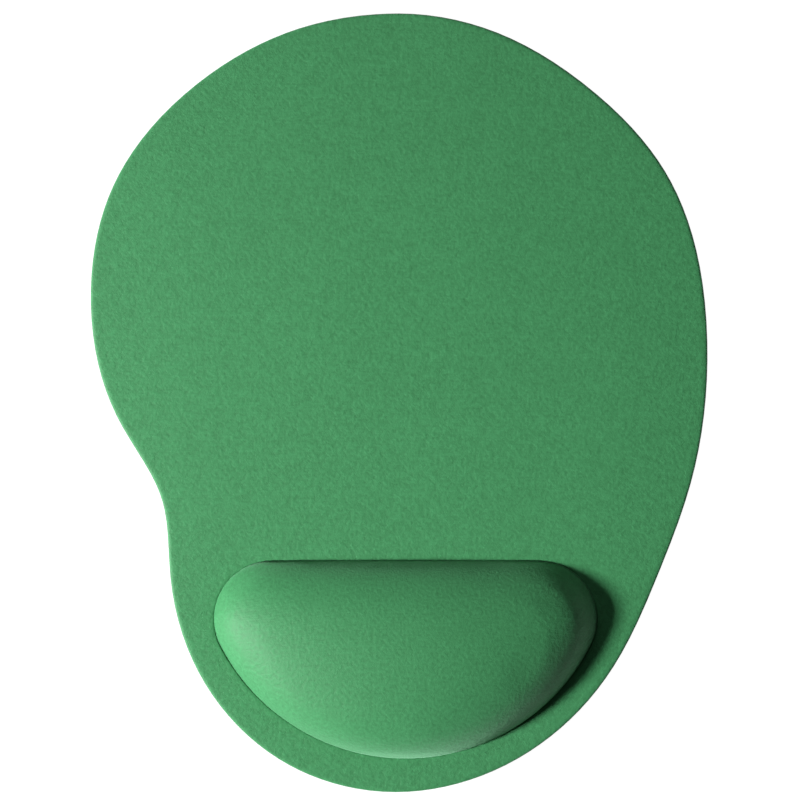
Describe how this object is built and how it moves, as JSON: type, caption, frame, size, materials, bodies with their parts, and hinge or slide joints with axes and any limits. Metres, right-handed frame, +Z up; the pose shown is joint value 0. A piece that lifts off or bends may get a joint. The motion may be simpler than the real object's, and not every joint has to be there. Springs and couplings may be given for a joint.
{
  "type": "mouse pad with wrist rest",
  "caption": "Rounded cloth-topped mouse pad with a raised D-shaped padded wrist rest and a non-slip rubber base.",
  "frame": {"origin": "on the desk surface, under the middle of the pad's outline", "axes": "+Z up; +Y from the wrist rest towards the far end of the pad; +X to the user's right"},
  "size_m": [0.1901, 0.24, 0.02],
  "materials": {
    "base_rubber": "matte, embossed grip pattern",
    "glue_film": "thin hot-melt adhesive film",
    "foam": "closed-cell foam, matte cut edge",
    "pad_knit": "fine green knitted polyester, matte",
    "rest_knit": "stretch green knit over foam, matte",
    "core_foam": "slow-recovery open-cell foam"
  },
  "bodies": {
    "root": {"non_slip_base": "base_rubber", "base_glue_film": "glue_film", "pad_foam": "foam", "cloth_glue_film": "glue_film", "pad_cloth": "pad_knit", "rest_cover": "rest_knit", "rest_glue_film": "glue_film", "rest_foam_shell": "foam", "rest_foam_core": "core_foam"}
  },
  "joints": []
}
